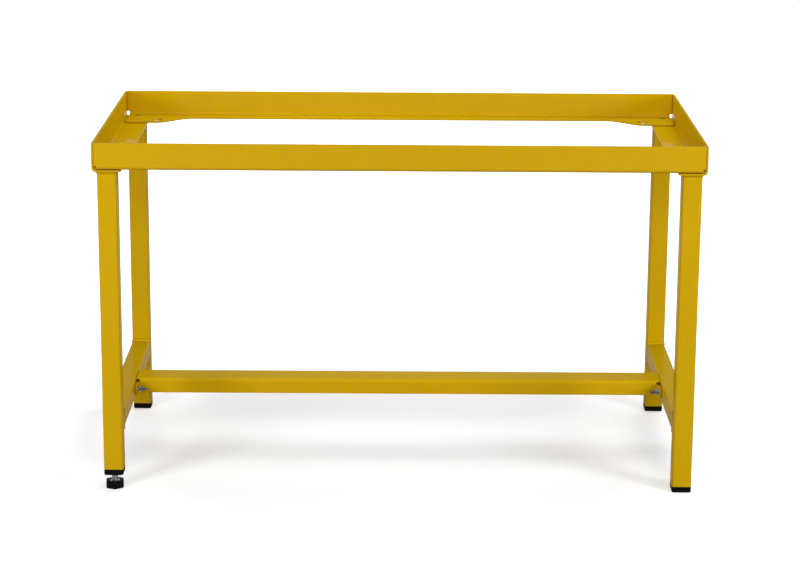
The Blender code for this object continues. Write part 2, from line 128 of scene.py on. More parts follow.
# Weld beads: leg of the fillet, how far its crown stands out and what share of that goes down, how thin
# the bead is on a flush side, where its root lies in the tube, its steps, and a ripple's length and height
WELD = 3.4
WELD_CROWN = 0.5
WELD_CROWN_DROP = 0.5
WELD_FLUSH = 0.12
WELD_ROOT = 0.97
WELD_ROWS = 7
WELD_STEP = 0.6
WELD_CORNER_STEPS = 10
RIPPLE = 2.4
RIPPLE_HEIGHT = 0.22

# Stretcher
STRETCHER_WIDTH = 53.0
EAR_FLAT = 15.0
EAR_CORNER = 7.0
NOTCH_KEPT = 0.5
NOTCH_DROP = 1.0
NOTCH_CORNER = 1.2

# Threads: the depth of the groove as a share of the pitch, how steep and wide it is, and rows in a turn
THREAD_DEPTH = 0.6
THREAD_SLOPE = 1.9
THREAD_ROOT = 0.35
THREAD_ROWS = 10

# Hexagons: the share of the width across flats at which the chamfer starts, and its angle
HEX_FACE = 0.96
HEX_CHAMFER = math.radians(30)
HEX_STEPS = 5

# M5 hardware
BOLT = 5.0
BOLT_PITCH = 0.8
BOLT_HOLE = 5.6
BOLT_TIP = 0.6
HEX = 8.0
BOLT_HEAD = 3.5
NUT = 4.7
NUT_CHAMFER = 0.5
WASHER = 10.0
WASHER_THICK = 1.6
WASHER_ROLL = 0.5
WASHER_ROLL_MIDDLE = 0.15
WASHER_BORE_EDGE = 0.1
BOLT_Y = 37.0
BOLT_Z = 106.75
THREADED = 20.0

# Corner screws, each of which stops at its own angle
SCREW_Y = 218.5
SCREW_LENGTH = 16.0
SCREW_EDGE = 0.25
SCREW_EDGE_DROP = 0.2
SCREW_WAIST = 0.1
SCREW_TIP = 0.6
SCREW_SPIN_END = math.radians(17)
SCREW_SPIN_SIDE = math.radians(31)
SOCKET = 3.0
SOCKET_DEEP = 2.0
SOCKET_EDGE = 0.25
SOCKET_POINT = 0.5
SOCKET_POINT_SHARE = 0.2

# Leg caps: the head, the hollow plug and its two fins
CAP_HEAD = 9.0
CAP_EDGE = 2.0
CAP_EDGE_STEPS = 6
CAP_LIP = 0.4
CAP_FLOOR = 5.0
CAP_PLUG = 18.0
PLUG_PLAY = 1.3
PLUG_WALL = 2.0
PLUG_CORNER = 1.5
FIN_PLAY = 0.3
FIN_LEVELS = (15.0, 21.0)
FIN_RAMP = 0.9
FIN_TOP = 1.5
FIN_STEP = 0.1

# Levelling cap: radii of the insert's pocket and of the stud's bore
FOOT_RISE = 23.0
INSERT_POCKET = 7.3
INSERT_SEAT = 4.0
STUD_BORE = 5.6
STUD_BORE_EDGE = 0.4

# Levelling stud
STUD = 10.0
STUD_PITCH = 1.5
STUD_HEX = 17.0
STUD_HEAD = 6.4
STUD_NECK = 0.4
STUD_TIP = 0.8
STUD_TOP = 55.3
HEAD_LEVEL = 3.1

# Levelling pad, with a recess for the washer and a pocket for the stud's head
PAD_HEX = 27.0
PAD_HEIGHT = 11.8
PAD_CORNER = 2.0
PAD_CORNER_STEPS = 7
PAD_EDGE = 0.8
PAD_EDGE_STEPS = 4
PAD_FLOOR = 2.8
PAD_TURN = math.radians(6)
RECESS_PLAY = 0.3
RECESS_EDGE = 0.4
POCKET_PLAY = 0.3
POCKET_CORNER = 0.3

# The pad's dished washer
FOOT_WASHER = 15.4
WASHER_LEVEL = 9.8
DISH = 1.0
DISH_THICK = 0.6
DISH_PLAY = 0.3
DISH_EDGE = 0.1
DISH_LIP = 0.2
DISH_LAND = 0.6

# Camera found from the photograph's edges
CAMERA_AT = (-0.0041, -3.8028, 1.2375)
CAMERA_LENS = 108.56
CAMERA_SENSOR = 36.0
CAMERA_YAW = math.radians(0.09)
CAMERA_PITCH = math.radians(14.369)
CAMERA_ROLL = math.radians(0.368)

# Floor, in metres and parts of white: half its size, its colour as seen and as it lights the stand from
# below, and its own glow, which rises to white between two distances from the middle
FLOOR_HALF = 40
FLOOR_SEEN = 0.92
FLOOR_BOUNCE = (0.24, 0.17, 0.05)
FLOOR_GLOW = 0.24
GLOW_NEAR = 0.4
GLOW_FAR = 0.9


def box(node):
    """Lowest and highest corner of a CAD node, in millimetres."""
    low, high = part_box(node)
    return low / MM, high / MM


# Procedural materials


def nodes_of(name):
    """A new material with its Principled shader and a helper that adds nodes to it."""
    made = bpy.data.materials.new(name)
    made.use_nodes = True
    tree = made.node_tree
    shader = tree.nodes["Principled BSDF"]

    def add(kind, links=(), **values):
        node = tree.nodes.new(kind)
        for key, value in values.items():
            if hasattr(node, key):
                setattr(node, key, value)
            else:
                node.inputs[key.replace("_", " ")].default_value = value
        for socket, source in links:
            tree.links.new(source, node.inputs[socket])
        return node

    return made, tree, shader, add


def ramp(add, source, stops):
    """A colour ramp over a texture's value: (position, colour) pairs."""
    node = add("ShaderNodeValToRGB", [("Fac", source)])
    elements = node.color_ramp.elements
    while len(elements) < len(stops):
        elements.new(0.5)
    for element, (position, colour) in zip(elements, stops):
        element.position = position
        element.color = (*colour, 1)
    return node


def grey(value):
    """A colour with three equal parts."""
    return (value, value, value)


def between(add, noise, low, high):
    """A colour ramp between two colours over a noise texture."""
    return ramp(add, noise.outputs["Fac"], [(NOISE_LOW, low), (NOISE_HIGH, high)])


def powder_coat(name, gloss_share):
    """Yellow powder coat with faint mottling and a fine orange peel, with painted shade darkening its
    crevices.
    """
    made, tree, shader, add = nodes_of(name)
    place = add("ShaderNodeTexCoord").outputs["Object"]
    mottle = add("ShaderNodeTexNoise", [("Vector", place)], Scale=38.0, Detail=4.0, Roughness=0.55)
    colour = between(add, mottle, YELLOW_DULL, YELLOW_BRIGHT)
    # Painted shade: an occlusion test darkens the coat's colour in crevices and gaps between parts, where
    # shade falls
    occlusion = add("ShaderNodeAmbientOcclusion", samples=8, Distance=PAINTED_SHADE_DEPTH)
    painted_shade = ramp(add, occlusion.outputs["AO"], [(0.0, PAINTED_SHADE_TINT), (1.0, grey(1.0))])
    layers = [(0, colour.outputs["Color"]), (1, painted_shade.outputs["Color"])]
    coat = add("ShaderNodeVectorMath", layers, operation="MULTIPLY")
    gloss = add("ShaderNodeTexNoise", [("Vector", place)], Scale=120.0, Detail=3.0)
    roughness = between(add, gloss, grey(0.3), grey(0.4))
    peel = add("ShaderNodeTexNoise", [("Vector", place)], Scale=700.0, Detail=2.0, Roughness=0.5)
    wave = add("ShaderNodeTexNoise", [("Vector", place)], Scale=170.0, Detail=1.0)
    height = add("ShaderNodeMath", [(0, wave.outputs["Fac"]), (1, peel.outputs["Fac"])], operation="ADD")
    bump = add("ShaderNodeBump", [("Height", height.outputs[0])], Strength=0.05, Distance=0.0004)
    tree.links.new(coat.outputs["Vector"], shader.inputs["Base Color"])
    tree.links.new(roughness.outputs["Color"], shader.inputs["Roughness"])
    tree.links.new(bump.outputs["Normal"], shader.inputs["Normal"])
    shader.inputs["Specular IOR Level"].default_value = 0.0
    shader.inputs["Coat Weight"].default_value = gloss_share
    shader.inputs["Coat IOR"].default_value = 1.3
    shader.inputs["Coat Roughness"].default_value = 0.06
    return made


def moulded_plastic():
    """Black plastic with a fine eroded grain."""
    made, tree, shader, add = nodes_of("moulded_plastic")
    place = add("ShaderNodeTexCoord").outputs["Object"]
    cloud = add("ShaderNodeTexNoise", [("Vector", place)], Scale=90.0, Detail=4.0)
    colour = between(add, cloud, grey(0.003), grey(0.0045))
    roughness = between(add, cloud, grey(0.42), grey(0.56))
    grain = add("ShaderNodeTexVoronoi", [("Vector", place)], Scale=1500.0)
    bump = add("ShaderNodeBump", [("Height", grain.outputs["Distance"])], Strength=0.2, Distance=0.0002)
    tree.links.new(colour.outputs["Color"], shader.inputs["Base Color"])
    tree.links.new(roughness.outputs["Color"], shader.inputs["Roughness"])
    tree.links.new(bump.outputs["Normal"], shader.inputs["Normal"])
    shader.inputs["IOR"].default_value = 1.1
    return made


def zinc_plate(name, dull, bright):
    """Zinc plate between two colours, brushed and a little uneven."""
    made, tree, shader, add = nodes_of(name)
    place = add("ShaderNodeTexCoord").outputs["Object"]
    cloud = add("ShaderNodeTexNoise", [("Vector", place)], Scale=260.0, Detail=5.0)
    colour = between(add, cloud, dull, bright)
    roughness = between(add, cloud, grey(0.18), grey(0.3))
    stretched = add("ShaderNodeMapping", [("Vector", place)], Scale=(1.0, 1.0, 9.0))
    scratch = add("ShaderNodeTexNoise", [("Vector", stretched.outputs[0])], Scale=900.0, Detail=2.0)
    bump = add("ShaderNodeBump", [("Height", scratch.outputs["Fac"])], Strength=0.15, Distance=0.0001)
    tree.links.new(colour.outputs["Color"], shader.inputs["Base Color"])
    tree.links.new(roughness.outputs["Color"], shader.inputs["Roughness"])
    tree.links.new(bump.outputs["Normal"], shader.inputs["Normal"])
    shader.inputs["Metallic"].default_value = 1.0
    return made


# Outlines


def arc(x, y, radius, start, end, steps):
    """Points on an arc about (x, y), between two angles."""
    turns = [start + (end - start) * step / steps for step in range(steps + 1)]
    return [(x + radius * math.cos(turn), y + radius * math.sin(turn)) for turn in turns]


def rounded(corners, steps=6):
    """The outline through these corners, each (x, y, radius)."""
    points = []
    for i, (x, y, radius) in enumerate(corners):
        corner = Vector((x, y))
        if radius == 0:
            points.append((x, y))
            continue
        before = (Vector(corners[i - 1][:2]) - corner).normalized()
        after = (Vector(corners[(i + 1) % len(corners)][:2]) - corner).normalized()
        half = before.angle(after) / 2
        centre = corner + (before + after).normalized() * (radius / math.sin(half))
        start = corner + before * (radius / math.tan(half)) - centre
        end = corner + after * (radius / math.tan(half)) - centre
        turn = math.atan2(start.x * end.y - start.y * end.x, start.dot(end))
        first = math.atan2(start.y, start.x)
        points += arc(centre.x, centre.y, radius, first, first + turn, steps)
    return points


def circle(radius, count=ROUND):
    """A round outline."""
    return arc(0, 0, radius, 0, 2 * math.pi * (count - 1) / count, count - 1)


def hole(x, y, diameter, count=HOLE_SIDES):
    """The outline of a round hole, drawn the other way round than a sheet's outline."""
    return [(x + px, y + py) for px, py in reversed(circle(diameter / 2, count))]


def square(size, corner, steps=8):
    """A square outline with rounded corners."""
    half = size / 2
    corners = ((half, half), (-half, half), (-half, -half), (half, -half))
    return rounded([(x, y, corner) for x, y in corners], steps)


def hexagon(across, corner, steps):
    """A hexagonal outline with rounded corners, one of them towards +Y."""
    reach = across / 2 / math.cos(math.radians(30))
    turns = [math.radians(30 + 60 * side) for side in range(6)]
    return rounded([(reach * math.cos(turn), reach * math.sin(turn), corner) for turn in turns], steps)


# Meshes


def mesh_of(bm, name):
    """A smooth mesh of this bmesh, facing out."""
    bmesh.ops.recalc_face_normals(bm, faces=bm.faces)
    mesh = bpy.data.meshes.new(name)
    bm.to_mesh(mesh)
    bm.free()
    mesh.shade_smooth()
    return mesh


def skin(bm, rings, closed):
    """Skins rings of points, all of one count, into a body that closes on its first ring or on flat ends."""
    made = [[bm.verts.new(point) for point in ring] for ring in rings]
    pairs = list(zip(made, made[1:]))
    if closed:
        pairs.append((made[-1], made[0]))
    else:
        bm.faces.new(made[0])
        bm.faces.new(made[-1])
    for low, high in pairs:
        for i in range(len(low)):
            bm.faces.new((low[i - 1], low[i], high[i], high[i - 1]))


def loft(name, levels, closed=False):
    """The mesh of one lofted body from (outline, height) levels."""
    bm = bmesh.new()
    skin(bm, [[(x, y, z) for x, y in outline] for outline, z in levels], closed)
    return mesh_of(bm, name)


def flat_sheet(loops):
    """A bmesh of flat sheet cut to these outlines, with rounded edges. Its middle lies in the XY plane."""
    curve = bpy.data.curves.new("flat_sheet", "CURVE")
    curve.dimensions = "2D"
    curve.fill_mode = "BOTH"
    curve.extrude = SHEET / 2 - EDGE
    curve.bevel_depth = EDGE
    curve.bevel_resolution = EDGE_STEPS
    curve.offset = -EDGE
    for loop in loops:
        spline = curve.splines.new("POLY")
        spline.points.add(len(loop) - 1)
        spline.use_cyclic_u = True
        for point, (x, y) in zip(spline.points, loop):
            point.co = (x, y, 0, 1)
    drawn = bpy.data.objects.new("flat_sheet", curve)
    bpy.context.scene.collection.objects.link(drawn)
    mesh = bpy.data.meshes.new_from_object(drawn)
    bm = bmesh.new()
    bm.from_mesh(mesh)
    bpy.data.objects.remove(drawn)
    bpy.data.curves.remove(curve)
    bpy.data.meshes.remove(mesh)
    bmesh.ops.remove_doubles(bm, verts=bm.verts, dist=MERGE)
    return bm


def crease(bm, axis, places):
    """Splits the flat sheet across an axis at these places, so that it can bend there."""
    normal = Vector((1, 0, 0)) if axis == "x" else Vector((0, 1, 0))
    for place in places:
        geometry = bm.verts[:] + bm.edges[:] + bm.faces[:]
        bmesh.ops.bisect_plane(bm, geom=geometry, dist=SPLIT, plane_co=normal * place, plane_no=normal)


def bend_lines(start):
    """Places of the creases across one bend that starts here."""
    return [start + BEND_ARC * step / BEND_STEPS for step in range(BEND_STEPS + 1)]


def countersink(bm, x, y, diameter):
    """Opens a hole in the flat sheet upward by 45 degrees."""
    for vert in bm.verts:
        away = Vector((vert.co.x - x, vert.co.y - y))
        if away.length < diameter / 2 + 2 * EDGE:
            grown = away * (1 + (vert.co.z + SHEET / 2) / away.length)
            vert.co.x = x + grown.x
            vert.co.y = y + grown.y


def fold(bm, bent, name):
    """Moves each point of the flat sheet to its place in the bent one."""
    for vert in bm.verts:
        vert.co = bent(*vert.co)
    return mesh_of(bm, name)


def bent_angle(along, across, height):
    """A point of an angle rail: its wall is at across < 0, then come the bend and the flange."""
    if across <= 0:
        return along, SHEET / 2 + height, BEND_OUTSIDE - across
    if across < BEND_ARC:
        turn = across / BEND_MIDDLE
        radius = BEND_MIDDLE - height
        return along, BEND_OUTSIDE - radius * math.cos(turn), BEND_OUTSIDE - radius * math.sin(turn)
    return along, BEND_OUTSIDE + across - BEND_ARC, SHEET / 2 + height


def on_flange(from_face):
    """Place across the flat sheet of a point on the flange, from its distance to the wall's outer face."""
    return BEND_ARC + from_face - BEND_OUTSIDE


def both_sides(half):
    """An outline's half at +x, from top to bottom, and its mirror image."""
    return half + [(-x, y, *rest) for x, y, *rest in reversed(half)]


def long_rail(seam):
    """Front or rear rail: a wall with relief notches and a flange that widens by S-curves into tabs."""
    low, high = box("front_rail")
    wall_end = high.x + seam
    wall_top = BEND_OUTSIDE - (high.z - low.z)
    bend_end = high.x - RELIEF_LENGTH
    tab = on_flange(high.y - low.y)
    flange = on_flange(RAIL_FLANGE)
    half = [(wall_end, wall_top, CUT_CORNER), (wall_end, -RELIEF_RISE, CUT_CORNER)]
    half += [(bend_end, -RELIEF_RISE, RELIEF_ROUND), (bend_end, tab, TAB_CORNER)]
    for step in range(BLEND_STEPS + 1):
        along = step / BLEND_STEPS
        wide = (1 + math.cos(math.pi * along)) / 2
        half.append((HALF_LENGTH - TAB_LENGTH - TAB_BLEND * along, flange + (tab - flange) * wide, 0))
    loops = [rounded(both_sides(half))]
    screw = on_flange(-low.y - SCREW_Y)
    chest = on_flange(CHEST_HOLE_FROM_FACE)
    for side in (-1, 1):
        loops.append(hole(side * LEG_X, screw, BOLT_HOLE))
        loops.append(hole(side * CHEST_HOLE_X, chest, CHEST_HOLE, CHEST_HOLE_SIDES))
    bm = flat_sheet(loops)
    for side in (-1, 1):
        countersink(bm, side * LEG_X, screw, BOLT_HOLE)
    crease(bm, "y", bend_lines(0))
    return fold(bm, bent_angle, "long_rail")


def end_rail():
    """End rail: its wall runs past the bend and the flange at both ends."""
    low, high = box("left_end_rail")
    wall_top = BEND_OUTSIDE - (high.z - low.z)
    bend_end = high.y - END_SETBACK
    flange = on_flange(high.x - low.x)
    half = [(high.y, wall_top, END_TOP_CORNER), (high.y, -RELIEF_RISE, CUT_CORNER)]
    half += [(bend_end, -RELIEF_RISE, END_RELIEF_CORNER), (bend_end, flange, END_FLANGE_CORNER)]
    loops = [rounded(both_sides(half))]
    for side in (-1, 1):
        loops.append(hole(side * SCREW_Y, on_flange(HALF_LENGTH - LEG_X), BOLT_HOLE))
    bm = flat_sheet(loops)
    crease(bm, "y", bend_lines(0))
    return fold(bm, bent_angle, "end_rail")


def stretcher():
    """The low stretcher: an inverted U whose walls end in ears that are bent outward."""
    low, high = box("stretcher")
    height = high.z - low.z
    end = high.x
    wall_end = end - BEND_OUTSIDE
    web = STRETCHER_WIDTH / 2 - BEND_OUTSIDE
    wall_start = web + BEND_ARC
    notch_top = web + NOTCH_KEPT * BEND_ARC
    ear_top = wall_start + NOTCH_DROP
    wall_foot = wall_start + height - BEND_OUTSIDE
    ear_end = wall_end + BEND_ARC + EAR_FLAT

    def bent(along, across, height_over):
        side = 1 if across > 0 else -1
        hand = 1 if along > 0 else -1
        x = abs(along)
        y = abs(across)
        out = height_over
        if x > wall_end and y > (notch_top + wall_start) / 2:
            turn = (x - wall_end) / BEND_MIDDLE
            radius = BEND_MIDDLE - height_over
            if turn < QUARTER:
                x = wall_end + radius * math.sin(turn)
                out = BEND_MIDDLE - radius * math.cos(turn)
            else:
                out = BEND_MIDDLE + x - wall_end - BEND_ARC
                x = wall_end + radius
        if y < web:
            return hand * x, across, height - SHEET / 2 + out
        if y < wall_start:
            turn = (y - web) / BEND_MIDDLE
            radius = BEND_MIDDLE + out
            y = web + radius * math.sin(turn)
            return hand * x, side * y, height - BEND_OUTSIDE + radius * math.cos(turn)
        return hand * x, side * (web + BEND_MIDDLE + out), height - BEND_OUTSIDE - (y - wall_start)

    corner = [(end, notch_top, CUT_CORNER), (wall_end, notch_top, NOTCH_CORNER)]
    corner += [(wall_end, ear_top, NOTCH_CORNER), (ear_end, ear_top, EAR_CORNER)]
    corner += [(ear_end, wall_foot, CUT_CORNER)]
    lower = [(-x, y, radius) for x, y, radius in reversed(corner)]
    half = corner + lower
    outline = half + [(-x, -y, radius) for x, y, radius in half]
    loops = [rounded(outline)]
    ear_hole = wall_end + BEND_ARC + EAR_FLAT / 2
    for side in (-1, 1):
        for hand in (-1, 1):
            loops.append(hole(hand * ear_hole, side * (wall_start + wall_foot) / 2, BOLT_HOLE))
    bm = flat_sheet(loops)
    for side in (-1, 1):
        crease(bm, "y", [side * place for place in bend_lines(web)])
        crease(bm, "x", [side * place for place in bend_lines(wall_end)])
    mesh = fold(bm, bent, "stretcher")
    mesh.transform(Matrix.Translation((0, 0, low.z)))
    return mesh


def tube(name, low, high):
    """A square tube between two heights, open at its ends."""
    inner = square(TUBE - 2 * TUBE_WALL, TUBE_CORNER - TUBE_WALL)
    outer = square(TUBE, TUBE_CORNER)
    eased = square(TUBE - 2 * TUBE_LIP, TUBE_CORNER - TUBE_LIP)
    levels = [(eased, low), (outer, low + TUBE_LIP), (outer, high - TUBE_LIP), (eased, high)]
    levels += [(inner, high), (inner, low)]
    return loft(name, levels, closed=True)


def bead(name, flush_sides):
    """A rippled weld round a square tube that ends at z = 0. It may lie flush on the two x sides."""
    path = square(TUBE, TUBE_CORNER, WELD_CORNER_STEPS)
    fine = []
    for i, (x, y) in enumerate(path):
        ahead = path[(i + 1) % len(path)]
        steps = max(1, round(math.dist((x, y), ahead) / WELD_STEP))
        fine += [(x + (ahead[0] - x) * s / steps, y + (ahead[1] - y) * s / steps) for s in range(steps)]
    half = TUBE / 2 - TUBE_CORNER
    rings = []
    for row in range(WELD_ROWS + 1):
        turn = QUARTER * row / WELD_ROWS
        ring = []
        walked = 0.0
        for i, (x, y) in enumerate(fine):
            walked += math.dist((x, y), fine[i - 1])
            out = Vector((x - max(-half, min(half, x)), y - max(-half, min(half, y)))).normalized()
            crown = WELD_CROWN * math.sin(2 * turn) + RIPPLE_HEIGHT * abs(math.sin(math.pi * walked / RIPPLE))
            share = max(abs(out.y), WELD_FLUSH) if flush_sides else 1.0
            hollow = WELD * (1 - math.sin(turn)) + crown
            drop = WELD * (1 - math.cos(turn)) + crown * WELD_CROWN_DROP
            reach = share * hollow
            ring.append((x + out.x * reach, y + out.y * reach, -share * drop))
        rings.append(ring)
    inner = [(x * WELD_ROOT, y * WELD_ROOT) for x, y in fine]
    rings.append([(x, y, -WELD) for x, y in inner])
    rings.append([(x, y, 0.0) for x, y in inner])
    bm = bmesh.new()
    skin(bm, rings, True)
    return mesh_of(bm, name)


def threaded_rings(diameter, pitch, low, high, tip):
    """Rings of a right-hand thread from low to high, with a chamfer at its upper end."""
    depth = THREAD_DEPTH * pitch
    rows = round((high - low) / pitch * THREAD_ROWS)
    rings = []
    for row in range(rows + 1):
        z = low + (high - low) * row / rows
        ring = []
        for step in range(ROUND):
            turn = step / ROUND
            phase = (z / pitch - turn) % 1.0
            crest = min(1.0, max(0.0, THREAD_SLOPE * abs(2 * phase - 1) - THREAD_ROOT))
            radius = diameter / 2 - depth * (1 - crest)
            radius = min(radius, diameter / 2 - tip + (high - z))
            ring.append((radius * math.cos(2 * math.pi * turn), radius * math.sin(2 * math.pi * turn), z))
        rings.append(ring)
    return rings


def hex_ring(across, cone, z):
    """A hexagon's outline, cut off by a round of the cone's radius, with a corner towards +Y."""
    ring = []
    for step in range(ROUND):
        turn = 2 * math.pi * step / ROUND
        flat = (turn + math.pi) % (math.pi / 3) - math.pi / 6
        radius = min(across / 2 / math.cos(flat), cone)
        ring.append((radius * math.cos(turn), radius * math.sin(turn), z))
    return ring


def hex_body(across, low, high, chamfer_low, chamfer_high):
    """Rings of a hexagonal body whose ends may be chamfered."""
    inner = across / 2 * HEX_FACE
    corner = across / 2 / math.cos(math.pi / 6)
    slope = math.tan(HEX_CHAMFER)
    sizes = [inner + (corner - inner) * step / HEX_STEPS for step in range(HEX_STEPS + 1)]
    rings = []
    if chamfer_low:
        rings += [hex_ring(across, size, low + (size - inner) * slope) for size in sizes]
    else:
        rings.append(hex_ring(across, corner, low))
    if chamfer_high:
        rings += [hex_ring(across, size, high - (size - inner) * slope) for size in reversed(sizes)]
    else:
        rings.append(hex_ring(across, corner, high))
    return rings


def at_level(outline, z):
    """The points of an outline at a height."""
    return [(x, y, z) for x, y in outline]


def nut():
    """An M5 nut with chamfered corners and a countersunk bore."""
    bm = bmesh.new()
    bore = circle(BOLT_HOLE / 2)
    mouth = circle(BOLT_HOLE / 2 + NUT_CHAMFER)
    rings = hex_body(HEX, 0, NUT, True, True)
    rings += [at_level(mouth, NUT), at_level(bore, NUT - NUT_CHAMFER)]
    rings += [at_level(bore, NUT_CHAMFER), at_level(mouth, 0)]
    skin(bm, rings, True)
    return mesh_of(bm, "nut")


def washer():
    """A stamped flat washer: one edge rolled, the other sharp."""
    outer = WASHER / 2
    inner = BOLT_HOLE / 2
    top = WASHER_THICK
    sizes = [(outer, 0), (outer, top - WASHER_ROLL), (outer - WASHER_ROLL_MIDDLE, top - WASHER_ROLL_MIDDLE)]
    sizes += [(outer - WASHER_ROLL, top), (inner + WASHER_BORE_EDGE, top)]
    sizes += [(inner, top - WASHER_BORE_EDGE), (inner, 0)]
    return loft("washer", [(circle(radius), z) for radius, z in sizes], closed=True)


def bolt(length):
    """An M5 bolt: its head's under face is at z = 0, and its shank runs up and ends in a thread."""
    bm = bmesh.new()
    rings = hex_body(HEX, -BOLT_HEAD, 0, True, False)
    shank = circle(BOLT / 2)
    rings += [at_level(shank, 0), at_level(shank, length - THREADED)]
    rings += threaded_rings(BOLT, BOLT_PITCH, length - THREADED, length, BOLT_TIP)
    skin(bm, rings, False)
    return mesh_of(bm, "bolt")


def corner_screw():
    """A countersunk socket screw: its head's top is at z = 0."""
    bm = bmesh.new()
    shank = BOLT / 2
    head = shank + SHEET
    end = shank - SCREW_WAIST
    socket = hex_ring(SOCKET, SOCKET, -SOCKET_DEEP)
    point = [(x * SOCKET_POINT_SHARE, y * SOCKET_POINT_SHARE) for x, y, _ in socket]
    rings = [at_level(point, -SOCKET_DEEP - SOCKET_POINT), socket]
    rings += [hex_ring(SOCKET, SOCKET, -SOCKET_EDGE), hex_ring(SOCKET + 2 * SOCKET_EDGE, SOCKET, 0)]
    rings += [at_level(circle(head - SCREW_EDGE), 0), at_level(circle(head), -SCREW_EDGE_DROP)]
    rings += [at_level(circle(shank), -SHEET), at_level(circle(end), SCREW_TIP - SCREW_LENGTH)]
    rings += [at_level(circle(end - SCREW_TIP), -SCREW_LENGTH)]
    skin(bm, rings, False)
    return mesh_of(bm, "corner_screw")


def cap_levels():
    """Sections of a leg cap's outside, from its foot to the top of its plug."""
    levels = []
    for step in range(CAP_EDGE_STEPS + 1):
        turn = QUARTER * step / CAP_EDGE_STEPS
        inset = CAP_EDGE * (1 - math.sin(turn))
        levels.append((square(TUBE - 2 * inset, TUBE_CORNER), CAP_EDGE * (1 - math.cos(turn))))
    levels.append((square(TUBE, TUBE_CORNER), CAP_HEAD - CAP_LIP))
    levels.append((square(TUBE - 2 * CAP_LIP, TUBE_CORNER), CAP_HEAD))
    plug = square(TUBE - 2 * TUBE_WALL - 2 * PLUG_PLAY, PLUG_CORNER)
    fin = square(TUBE - 2 * TUBE_WALL - 2 * FIN_PLAY, PLUG_CORNER)
    levels.append((plug, CAP_HEAD))
    for low in FIN_LEVELS:
        levels += [(plug, low), (fin, low + FIN_RAMP), (fin, low + FIN_TOP), (plug, low + FIN_TOP + FIN_STEP)]
    levels.append((plug, CAP_HEAD + CAP_PLUG))
    return levels


def leg_cap():
    """A plain plastic cap with a hollow plug."""
    hollow = square(TUBE - 2 * (TUBE_WALL + PLUG_PLAY + PLUG_WALL), PLUG_CORNER)
    return loft("leg_cap", cap_levels() + [(hollow, CAP_HEAD + CAP_PLUG), (hollow, CAP_FLOOR)])


def levelling_cap():
    """A plastic cap bored for the threaded insert and the stud."""
    levels = cap_levels()
    count = len(levels[0][0])
    pocket = circle(INSERT_POCKET, count)
    bore = circle(STUD_BORE, count)
    mouth = circle(STUD_BORE + STUD_BORE_EDGE, count)
    levels += [(pocket, CAP_HEAD + CAP_PLUG), (pocket, INSERT_SEAT)]
    levels += [(bore, INSERT_SEAT), (bore, STUD_BORE_EDGE), (mouth, 0)]
    return loft("levelling_cap", levels, closed=True)


def stud():
    """The levelling stud: a hex head held in the foot, and a right-hand thread."""
    bm = bmesh.new()
    top = HEAD_LEVEL + STUD_HEAD
    rings = hex_body(STUD_HEX, HEAD_LEVEL, top, True, False)
    rings += [at_level(circle(STUD / 2 - STUD_NECK), top)]
    rings += threaded_rings(STUD, STUD_PITCH, top, STUD_TOP, STUD_TIP)
    skin(bm, rings, False)
    return mesh_of(bm, "levelling_stud")


def foot_pad():
    """The hexagonal plastic foot with rounded edges and an open recess for the washer."""
    turns = [QUARTER * step / PAD_EDGE_STEPS for step in range(PAD_EDGE_STEPS + 1)]
    edge = [(PAD_EDGE * (1 - math.sin(turn)), PAD_EDGE * (1 - math.cos(turn))) for turn in turns]
    levels = []
    for inset, rise in edge:
        levels.append((hexagon(PAD_HEX - 2 * inset, PAD_CORNER, PAD_CORNER_STEPS), rise))
    for drop, inset in edge:
        levels.append((hexagon(PAD_HEX - 2 * inset, PAD_CORNER, PAD_CORNER_STEPS), PAD_HEIGHT - drop))
    recess = circle(FOOT_WASHER / 2 + RECESS_PLAY)
    mouth = circle(FOOT_WASHER / 2 + RECESS_PLAY + RECESS_EDGE)
    levels += [(mouth, PAD_HEIGHT), (recess, PAD_HEIGHT - RECESS_EDGE), (recess, WASHER_LEVEL)]
    pocket = hexagon(STUD_HEX + 2 * POCKET_PLAY, POCKET_CORNER, PAD_CORNER_STEPS)
    levels += [(pocket, WASHER_LEVEL), (pocket, PAD_FLOOR)]
    return loft("foot_pad", levels)


def foot_washer():
    """A dished washer that slopes down to the stud."""
    outer = FOOT_WASHER / 2
    inner = STUD / 2 + DISH_PLAY
    top = DISH + DISH_THICK
    sizes = [(outer, DISH), (outer, top - DISH_EDGE), (outer - DISH_LIP, top)]
    sizes += [(outer - DISH_LAND, top - DISH_EDGE), (inner, DISH_THICK), (inner, 0.0)]
    return loft("foot_washer", [(circle(radius), WASHER_LEVEL + z) for radius, z in sizes], closed=True)


# Placing


def piece(name, mesh, finish, body, nodes=(), at=(0, 0, 0), turn=(0, 0, 0)):
    """Places a mesh, drawn in millimetres, as a piece that rides on a body and stands for CAD nodes."""
    obj = bpy.data.objects.new(name, mesh)
    bpy.context.scene.collection.objects.link(obj)
    if not mesh.materials:
        mesh.transform(Matrix.Scale(MM, 4))
        mesh.materials.append(finish)
    obj.location = Vector(at) * MM
    obj.rotation_euler = turn
    weighted = obj.modifiers.new("weighted_normals", "WEIGHTED_NORMAL")
    weighted.keep_sharp = True
    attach(obj, body)
    if nodes:
        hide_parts(*nodes)
    return obj


def crisp(mesh, degrees):
    """Keeps edges above this angle sharp."""
    mesh.set_sharp_from_angle(angle=math.radians(degrees))
    return mesh


